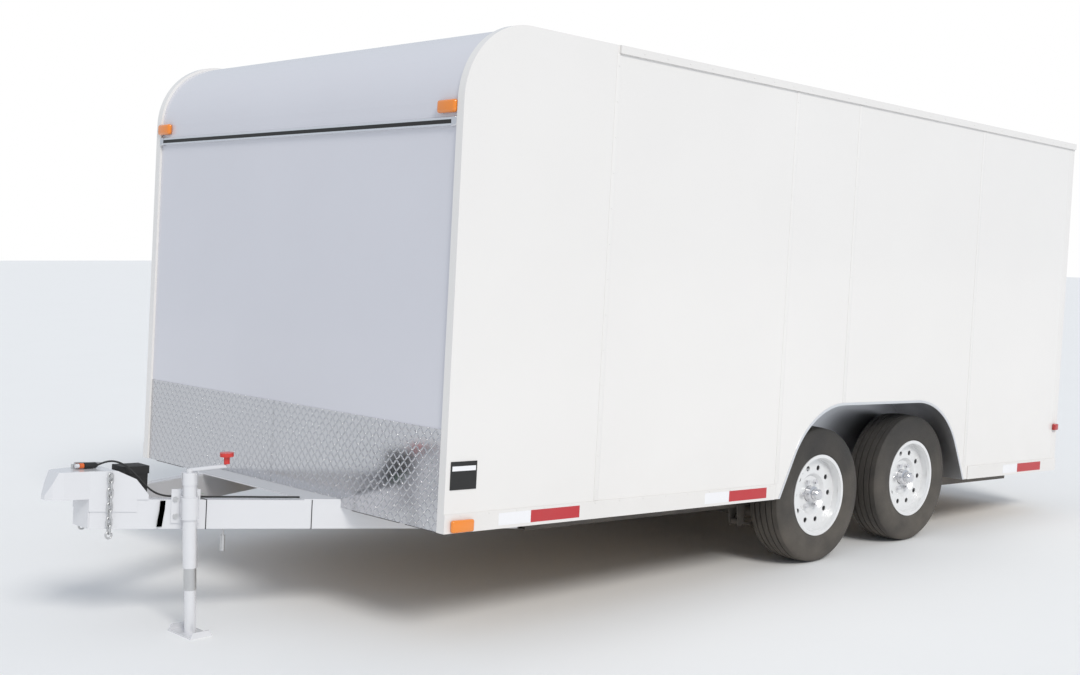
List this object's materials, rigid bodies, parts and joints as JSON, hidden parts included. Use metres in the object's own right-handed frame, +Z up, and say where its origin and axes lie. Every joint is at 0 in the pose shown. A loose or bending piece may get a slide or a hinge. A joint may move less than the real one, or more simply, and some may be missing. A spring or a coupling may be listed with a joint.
{
  "type": "enclosed cargo trailer",
  "caption": "Tandem-axle enclosed cargo trailer with an A-frame tongue, ball coupler, drop-leg jack, rear ramp door and side entry door.",
  "frame": {"origin": "centre of the bounding box in plan, at ground level", "axes": "+X forward towards the coupler, +Y to the left side, +Z up; the body leans 2.8 degrees nose up on its jack"},
  "size_m": [6.0652, 2.426, 2.4724],
  "materials": {
    "bare_aluminium": "mill",
    "black_plastic": "matt",
    "body_white": "gloss",
    "bright_steel": "polished",
    "grip_red": "gloss",
    "painted_frame": "satin",
    "plywood": "plain",
    "ribbon_green": "woven",
    "tongue_white": "gloss",
    "tread_plate": "polished",
    "tyre": "matt",
    "wheel_white": "gloss",
    "zinc": "zinc plated"
  },
  "bodies": {
    "trailer": {"arch_trims": "tread_plate", "axle_front": "painted_frame", "axle_rear": "painted_frame", "bar_lock_keepers": "zinc", "battery_box": "black_plastic", "bottom_rails": "body_white", "breakaway_plug": "black_plastic", "chain_left": "zinc", "chain_right": "zinc", "coupler": "tongue_white", "coupler_latch": "zinc", "cross_members": "painted_frame", "equalizers": "painted_frame", "floor": "plywood", "front_moulding": "body_white", "front_wall": "body_white", "hung_switch": "black_plastic", "jack_bracket": "tongue_white", "jack_crank": "tongue_white", "jack_grip": "grip_red", "jack_outer_tube": "tongue_white", "leaf_springs": "painted_frame", "main_rails": "painted_frame", "nose_curve": "body_white", "ramp_hinges": "zinc", "rear_frame": "body_white", "rear_sill": "painted_frame", "ribbon_hanging": "ribbon_green", "ribbon_upper": "ribbon_green", "roof": "bare_aluminium", "roof_edge_trims": "body_white", "side_hinges": "zinc", "side_wall_left": "body_white", "side_wall_right": "body_white", "spring_hangers": "painted_frame", "stone_guard": "tread_plate", "tongue_plates": "tongue_white", "tongue_rails": "tongue_white", "tow_cable": "black_plastic", "wheel_boxes": "bare_aluminium"},
    "wheel_front_left_body": {"tyre_front_left": "tyre", "wheel_front_left": "wheel_white", "hub_front_left": "bright_steel"},
    "wheel_front_right_body": {"tyre_front_right": "tyre", "wheel_front_right": "wheel_white", "hub_front_right": "bright_steel"},
    "wheel_rear_left_body": {"tyre_rear_left": "tyre", "wheel_rear_left": "wheel_white", "hub_rear_left": "bright_steel"},
    "wheel_rear_right_body": {"tyre_rear_right": "tyre", "wheel_rear_right": "wheel_white", "hub_rear_right": "bright_steel"},
    "ramp": {"rear_ramp_door": "body_white", "ramp_bar_locks": "zinc"},
    "entry_door": {"side_door": "body_white", "side_door_handle": "zinc"},
    "leg": {"jack_leg": "tongue_white", "jack_sleeve": "zinc"}
  },
  "joints": [
    {"name": "wheel_front_left_spin", "type": "hinge", "parent": "trailer", "child": "wheel_front_left_body", "pos_m": [-0.54887, 1.053, 0.345], "axis": [0, 1, 0], "continuous": true},
    {"name": "wheel_front_right_spin", "type": "hinge", "parent": "trailer", "child": "wheel_front_right_body", "pos_m": [-0.54887, -1.053, 0.345], "axis": [0, 1, 0], "continuous": true},
    {"name": "wheel_rear_left_spin", "type": "hinge", "parent": "trailer", "child": "wheel_rear_left_body", "pos_m": [-1.38987, 1.053, 0.345], "axis": [0, 1, 0], "continuous": true},
    {"name": "wheel_rear_right_spin", "type": "hinge", "parent": "trailer", "child": "wheel_rear_right_body", "pos_m": [-1.38987, -1.053, 0.345], "axis": [0, 1, 0], "continuous": true},
    {"name": "ramp_hinge", "type": "hinge", "parent": "trailer", "child": "ramp", "pos_m": [-2.91559, 0, 0.30188], "axis": [0, -1, 0], "range_deg": [0, 95]},
    {"name": "entry_door_hinge", "type": "hinge", "parent": "trailer", "child": "entry_door", "pos_m": [1.00077, -1.209, 1.35244], "axis": [-0.0488, 0, 0.9988], "range_deg": [0, 172]},
    {"name": "jack_slide", "type": "slide", "parent": "trailer", "child": "leg", "axis": [0, 0, 1], "range_m": [0, 0.24]}
  ]
}
